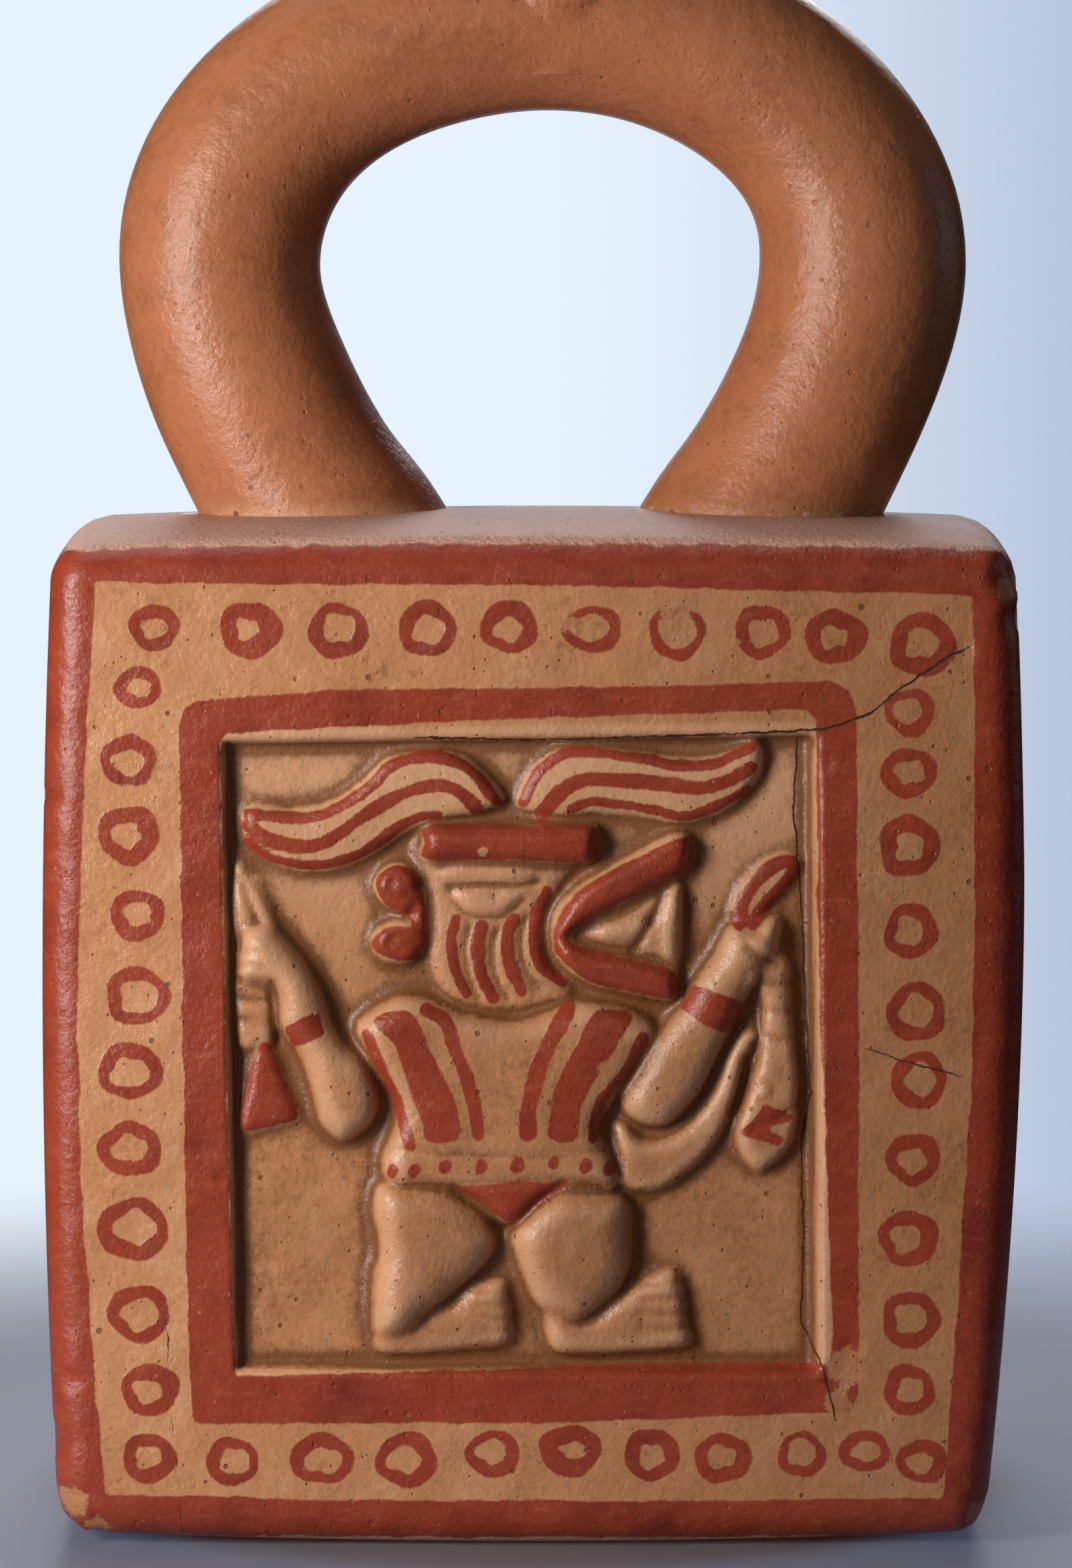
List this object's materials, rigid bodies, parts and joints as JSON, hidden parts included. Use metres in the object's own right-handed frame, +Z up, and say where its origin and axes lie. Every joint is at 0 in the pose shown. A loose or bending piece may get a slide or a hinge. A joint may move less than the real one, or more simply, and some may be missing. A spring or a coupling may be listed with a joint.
{
  "type": "stirrup spout vessel",
  "caption": "Hollow fired-clay stirrup spout bottle: a pillow-sided box with a carved front panel, a tubular stirrup handle on top and an upright spout.",
  "frame": {"origin": "under the middle of the body, in the plane of the flat underside it stands on", "axes": "+Z up along the spout, -Y out of the carved front panel, +X to the right of a viewer facing the panel"},
  "size_m": [0.1148, 0.0794, 0.235],
  "materials": {
    "slip_painted_clay": "burnished buff clay with dark red slip bands, rings and a painted relief, semi-gloss, worn and stained"
  },
  "bodies": {
    "root": {"vessel": "slip_painted_clay"}
  },
  "joints": []
}
